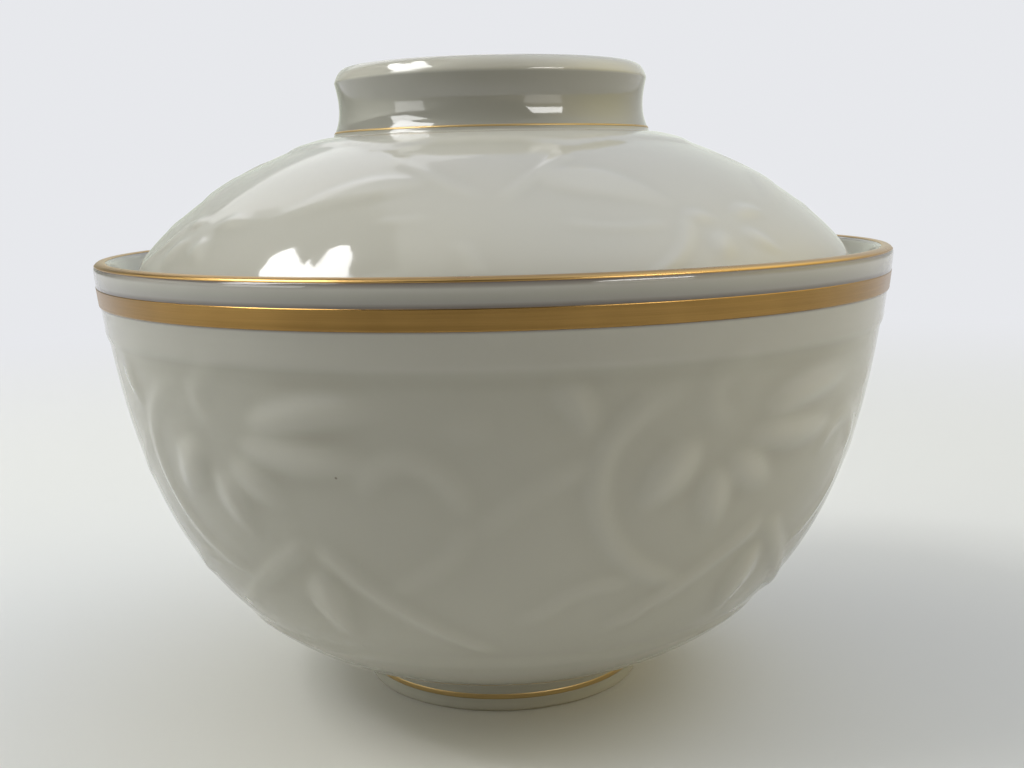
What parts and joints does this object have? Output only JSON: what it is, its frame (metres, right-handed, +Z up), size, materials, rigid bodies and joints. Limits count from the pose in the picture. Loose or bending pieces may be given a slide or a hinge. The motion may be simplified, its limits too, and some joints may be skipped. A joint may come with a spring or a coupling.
{
  "type": "lidded bowl",
  "caption": "Round porcelain rice bowl on a foot ring, with floral relief, gilded lines and a domed lid with a ring knob that drops inside the rim.",
  "frame": {"origin": "centre of the foot ring's standing edge, on the table", "axes": "+Z up along the axis of the bowl and lid; the front of the picture looks along +Y; +X to the right"},
  "size_m": [0.1182, 0.1182, 0.0934],
  "materials": {
    "glazed_porcelain": "clear glossy glaze over an ivory body",
    "glazed_relief": "clear glossy glaze, thinner on the raised forms",
    "gilding": "fired bright gold, lightly worn"
  },
  "bodies": {
    "bowl": {"bowl_wall": "glazed_porcelain", "foot_ring": "glazed_porcelain", "bowl_flowers": "glazed_relief", "bowl_leaves": "glazed_relief", "bowl_stems": "glazed_relief", "lip_gilding": "gilding", "band_gilding": "gilding", "foot_gilding": "gilding"},
    "lid": {"lid_dome": "glazed_porcelain", "knob_ring": "glazed_porcelain", "lid_border": "glazed_relief", "lid_flowers": "glazed_relief", "lid_leaves": "glazed_relief", "lid_stems": "glazed_relief", "knob_gilding": "gilding"}
  },
  "joints": [
    {"name": "lid_lift", "type": "slide", "parent": "bowl", "child": "lid", "axis": [0, 0, 1], "range_m": [0, 0.08]}
  ]
}
